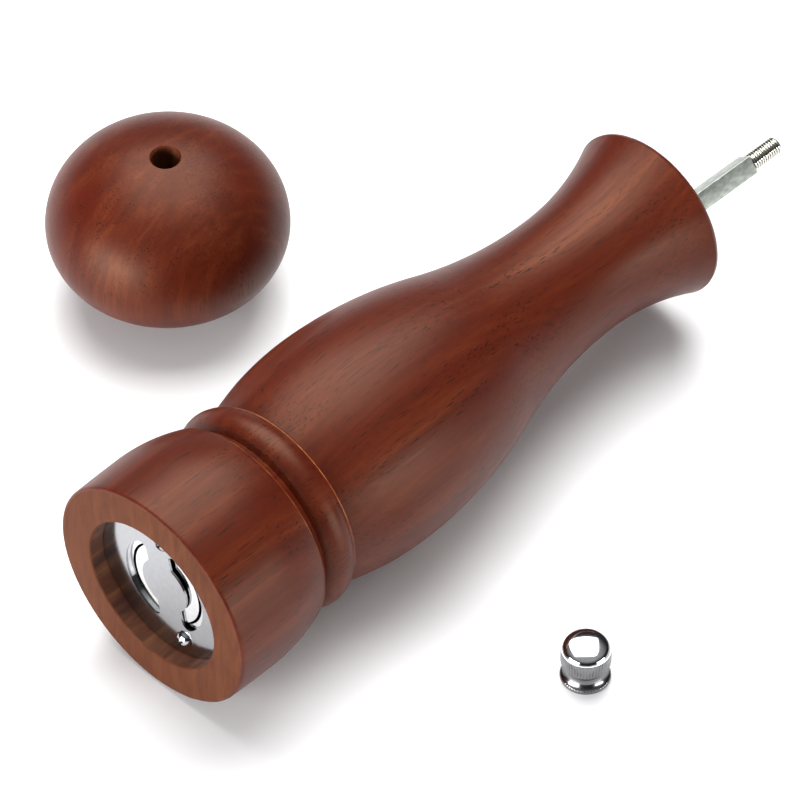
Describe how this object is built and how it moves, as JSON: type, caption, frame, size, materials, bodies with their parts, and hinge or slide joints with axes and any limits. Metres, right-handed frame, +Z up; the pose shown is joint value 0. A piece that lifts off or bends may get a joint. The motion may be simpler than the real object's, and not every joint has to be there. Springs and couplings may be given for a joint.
{
  "type": "pepper mill",
  "caption": "Turned wooden pepper mill taken apart: body with burrs and square spindle, domed cap on its tenon, and knurled finial nut.",
  "frame": {"origin": "on the floor, below the middle of the box round all three loose groups", "axes": "+X along the lying mill from its base to its top, +Y towards the cap, +Z up"},
  "size_m": [0.2218, 0.2024, 0.0621],
  "materials": {
    "stained_wood": "satin stain",
    "polished_steel": "polished",
    "burr_steel": "bright sintered steel",
    "zinc_steel": "zinc plated",
    "spring_steel": "bright wire",
    "brass": "machined",
    "nylon": "natural",
    "chrome": "polished"
  },
  "bodies": {
    "mill": {"mill_body": "stained_wood", "base_plate": "polished_steel", "base_plate_screws": "polished_steel", "pivot_bush": "brass", "female_burr": "burr_steel", "burr_bridge": "zinc_steel"},
    "leaning_spring": {"burr_spring": "spring_steel"},
    "adjuster": {"thrust_washer": "nylon"},
    "spindle": {"spindle": "zinc_steel", "male_burr": "burr_steel", "spindle_clip": "spring_steel"},
    "cap": {"cap": "stained_wood", "cap_drive_plate": "zinc_steel", "drive_plate_screws": "zinc_steel"},
    "nut": {"finial_nut": "chrome"}
  },
  "joints": [
    {"name": "spindle_lean", "type": "hinge", "parent": "mill", "child": "leaning_spring", "pos_m": [-0.10349, -0.01982, 0.03116], "axis": [0.014, -0.7071, 0.707], "range_deg": [0, 1.65]},
    {"name": "grind_adjust", "type": "slide", "parent": "leaning_spring", "child": "adjuster", "axis": [0.999, -0.0204, -0.0401], "range_m": [0, 0.0015], "stiffness_N_per_m": 400, "springref_m": -0.003, "deforming": ["burr_spring"]},
    {"name": "spindle_turn", "type": "hinge", "parent": "adjuster", "child": "spindle", "pos_m": [-0.01039, -0.02172, 0.02743], "axis": [0.999, -0.0204, -0.0401], "continuous": true},
    {"name": "cap_lift", "type": "slide", "parent": "mill", "child": "cap", "axis": [0, 0, 1], "range_m": [0, 0.08]},
    {"name": "nut_lift", "type": "slide", "parent": "mill", "child": "nut", "axis": [0, 0, 1], "range_m": [0, 0.06]}
  ]
}
